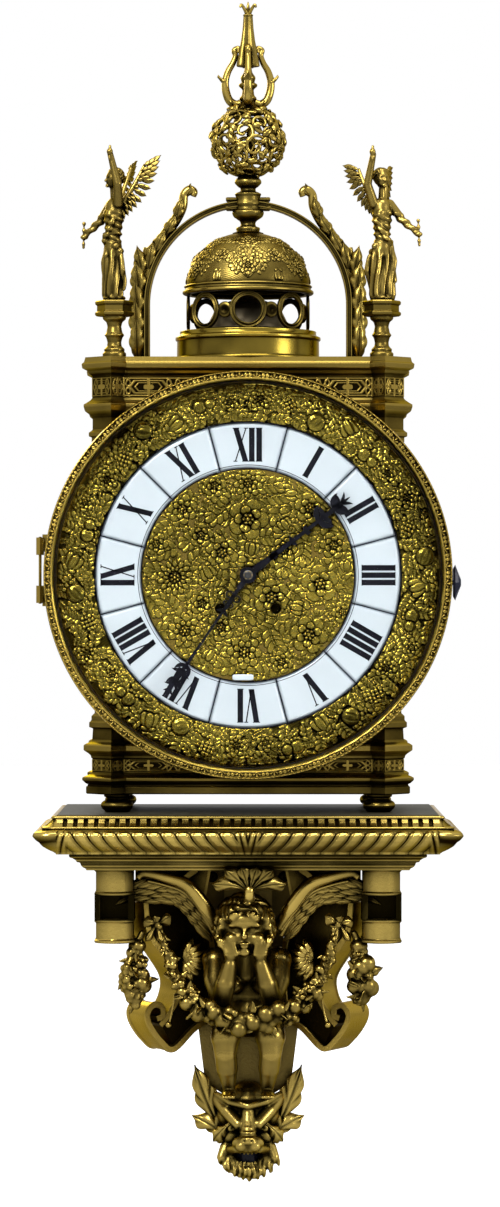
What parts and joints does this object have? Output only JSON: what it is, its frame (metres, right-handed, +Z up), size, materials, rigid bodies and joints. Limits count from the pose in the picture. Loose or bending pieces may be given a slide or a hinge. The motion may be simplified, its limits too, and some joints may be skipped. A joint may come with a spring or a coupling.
{
  "type": "bracket clock",
  "caption": "Gilt brass clock with a glazed enamel dial, domed top and winged figures, standing on its own scrolled wall bracket with a child and a beast's mask.",
  "frame": {"origin": "midway between the two wall screws, on the wall plane", "axes": "+X to the viewer's right, +Y into the wall, +Z up; the wall is the plane Y = 0"},
  "size_m": [0.348, 0.185, 0.98],
  "materials": {
    "gilt_brass": "old gilding, worn bright on the edges and dark in the hollows",
    "dark_bronze": "toned gilt bronze with a grained strap surface",
    "enamel": "pillowed white vitreous enamel with black numerals and edge lines",
    "glass": "clear flat glass",
    "blued_steel": "blue-black polished steel",
    "bell_metal": "dark cast bell metal",
    "movement_brass": "smooth lacquered brass",
    "bright_steel": "bright steel"
  },
  "bodies": {
    "clock": {"shelf_board": "gilt_brass", "gadrooned_rim": "gilt_brass", "under_moulding": "dark_bronze", "bracket_back": "dark_bronze", "scroll_arms": "dark_bronze", "corner_rolls": "dark_bronze", "crest_leaf": "gilt_brass", "putto": "gilt_brass", "putto_wings": "gilt_brass", "garland": "gilt_brass", "mask": "dark_bronze", "bun_feet": "gilt_brass", "base_plinth": "gilt_brass", "corner_piers": "gilt_brass", "front_plate": "gilt_brass", "side_panels": "gilt_brass", "rear_frame": "gilt_brass", "entablature": "gilt_brass", "cornice": "gilt_brass", "dial_drum": "gilt_brass", "dome_drum": "gilt_brass", "gallery": "gilt_brass", "dome": "gilt_brass", "bell": "bell_metal", "arch": "gilt_brass", "leaf_brackets": "gilt_brass", "turned_collar": "gilt_brass", "pierced_ball": "gilt_brass", "finial": "gilt_brass", "figure_columns": "gilt_brass", "left_figure": "gilt_brass", "right_figure": "gilt_brass", "dial_plate": "movement_brass", "dial_ring": "gilt_brass", "enamel_plaques": "enamel", "dial_centre": "gilt_brass", "movement_front_plate": "movement_brass", "movement_rear_plate": "movement_brass", "strike_barrel": "movement_brass", "bezel_hinge": "gilt_brass"},
    "bezel_door": {"bezel_ring": "gilt_brass", "bezel_glass": "glass", "glass_retainer": "movement_brass"},
    "latch": {"bezel_latch": "blued_steel"},
    "back_door": {"rear_door": "gilt_brass"},
    "minute_hand_group": {"minute_hand": "blued_steel", "cannon_pinion": "movement_brass"},
    "hour_hand_group": {"hour_hand": "blued_steel", "hour_wheel": "movement_brass"},
    "motion_wheel": {"minute_wheel": "movement_brass"},
    "barrel": {"going_barrel": "movement_brass"},
    "going_key_arbor": {"going_winding_arbor": "bright_steel"},
    "strike_key_arbor": {"strike_winding_arbor": "bright_steel"},
    "intermediate": {"intermediate_wheel": "movement_brass"},
    "centre": {"centre_wheel": "movement_brass"},
    "third": {"third_wheel": "movement_brass"},
    "escape": {"escape_wheel": "movement_brass"},
    "pallets": {"anchor": "bright_steel"},
    "pendulum_bob": {"pendulum": "bright_steel"},
    "hammer": {"strike_hammer": "bright_steel"}
  },
  "joints": [
    {"name": "bezel_door_swing", "type": "hinge", "parent": "clock", "child": "bezel_door", "pos_m": [-0.1675, -0.161, 0.256], "axis": [0, 0, -1], "range_deg": [0, 105]},
    {"name": "latch_turn", "type": "hinge", "parent": "bezel_door", "child": "latch", "pos_m": [0.162, -0.169, 0.246], "axis": [1, 0, 0], "range_deg": [0, 90]},
    {"name": "back_door_swing", "type": "hinge", "parent": "clock", "child": "back_door", "pos_m": [-0.075, -0.018, 0.25], "axis": [0, 0, 1], "range_deg": [0, 100]},
    {"name": "minute_hand_turn", "type": "hinge", "parent": "clock", "child": "minute_hand_group", "pos_m": [0, -0.1697, 0.252], "axis": [0, 1, 0], "continuous": true},
    {"name": "hour_hand_turn", "type": "hinge", "parent": "clock", "child": "hour_hand_group", "pos_m": [0, -0.1671, 0.252], "axis": [0, 1, 0], "continuous": true},
    {"name": "motion_wheel_turn", "type": "hinge", "parent": "clock", "child": "motion_wheel", "pos_m": [0.01523, -0.15, 0.2449], "axis": [0, 1, 0], "continuous": true},
    {"name": "third_wheel_turn", "type": "hinge", "parent": "clock", "child": "third", "pos_m": [-0.00828, -0.118, 0.26976], "axis": [0, 1, 0], "continuous": true},
    {"name": "centre_wheel_turn", "type": "hinge", "parent": "clock", "child": "centre", "pos_m": [0, -0.126, 0.252], "axis": [0, 1, 0], "continuous": true},
    {"name": "escape_wheel_turn", "type": "hinge", "parent": "clock", "child": "escape", "pos_m": [0, -0.11, 0.28438], "axis": [0, 1, 0], "continuous": true},
    {"name": "intermediate_wheel_turn", "type": "hinge", "parent": "clock", "child": "intermediate", "pos_m": [0.01975, -0.1095, 0.24884], "axis": [0, 1, 0], "continuous": true},
    {"name": "barrel_turn", "type": "hinge", "parent": "clock", "child": "barrel", "pos_m": [0.0225, -0.128, 0.225], "axis": [0, 1, 0], "continuous": true},
    {"name": "going_winding_turn", "type": "hinge", "parent": "clock", "child": "going_key_arbor", "pos_m": [0.0225, -0.155, 0.225], "axis": [0, 1, 0], "continuous": true},
    {"name": "strike_winding_turn", "type": "hinge", "parent": "clock", "child": "strike_key_arbor", "pos_m": [-0.0225, -0.155, 0.225], "axis": [0, 1, 0], "continuous": true},
    {"name": "pendulum_swing", "type": "hinge", "parent": "clock", "child": "pendulum_bob", "pos_m": [0, -0.0875, 0.298], "axis": [0, 1, 0], "range_deg": [-3, 3]},
    {"name": "anchor_rock", "type": "hinge", "parent": "clock", "child": "pallets", "pos_m": [0, -0.11, 0.299], "axis": [0, 1, 0], "range_deg": [-3, 3]},
    {"name": "hammer_swing", "type": "hinge", "parent": "clock", "child": "hammer", "pos_m": [-0.03, -0.088, 0.274], "axis": [0, 1, 0], "range_deg": [0, 6]}
  ],
  "couplings": [
    {"joint": "hour_hand_turn", "follows": "minute_hand_turn", "ratio": 0.083333},
    {"joint": "motion_wheel_turn", "follows": "minute_hand_turn", "ratio": -0.33333},
    {"joint": "centre_wheel_turn", "follows": "third_wheel_turn", "ratio": -0.09375},
    {"joint": "escape_wheel_turn", "follows": "third_wheel_turn", "ratio": -10},
    {"joint": "intermediate_wheel_turn", "follows": "third_wheel_turn", "ratio": 0.023438},
    {"joint": "barrel_turn", "follows": "third_wheel_turn", "ratio": -0.0046875},
    {"joint": "anchor_rock", "follows": "pendulum_swing", "ratio": 1}
  ]
}
